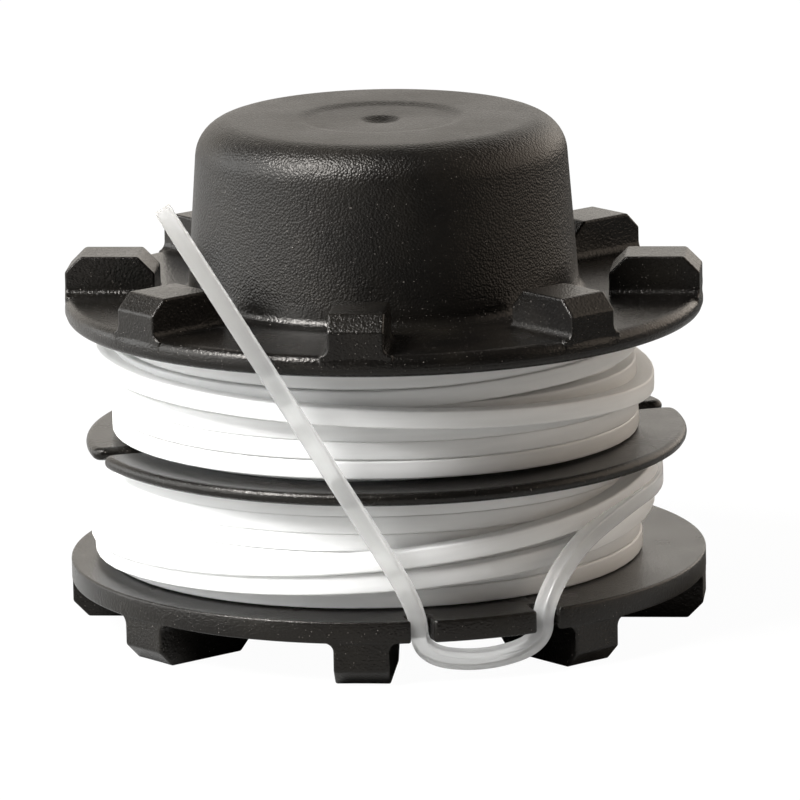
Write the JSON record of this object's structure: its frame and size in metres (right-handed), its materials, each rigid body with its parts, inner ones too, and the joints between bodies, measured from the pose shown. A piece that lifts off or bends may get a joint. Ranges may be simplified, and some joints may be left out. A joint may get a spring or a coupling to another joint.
{
  "type": "trimmer line spool",
  "caption": "Moulded bump-feed spool for a string trimmer head, with a round knob, lugged flanges and cutting line wound in its chambers, one line end parked in the rim.",
  "frame": {"origin": "on the spool's axis, in the plane of the lower lugs' flat ends, which it stands on", "axes": "+Z along the spool's axis towards the bump knob; -Y towards the tab that the free line end is parked round"},
  "size_m": [0.0838, 0.0838, 0.0664],
  "materials": {
    "black_nylon": "black glass-filled nylon with a fine spark-eroded grain",
    "white_line": "milky white extruded nylon line"
  },
  "bodies": {
    "root": {"spool_body": "black_nylon", "upper_line_winding": "white_line", "lower_line_winding": "white_line", "line_tail": "white_line"}
  },
  "joints": []
}
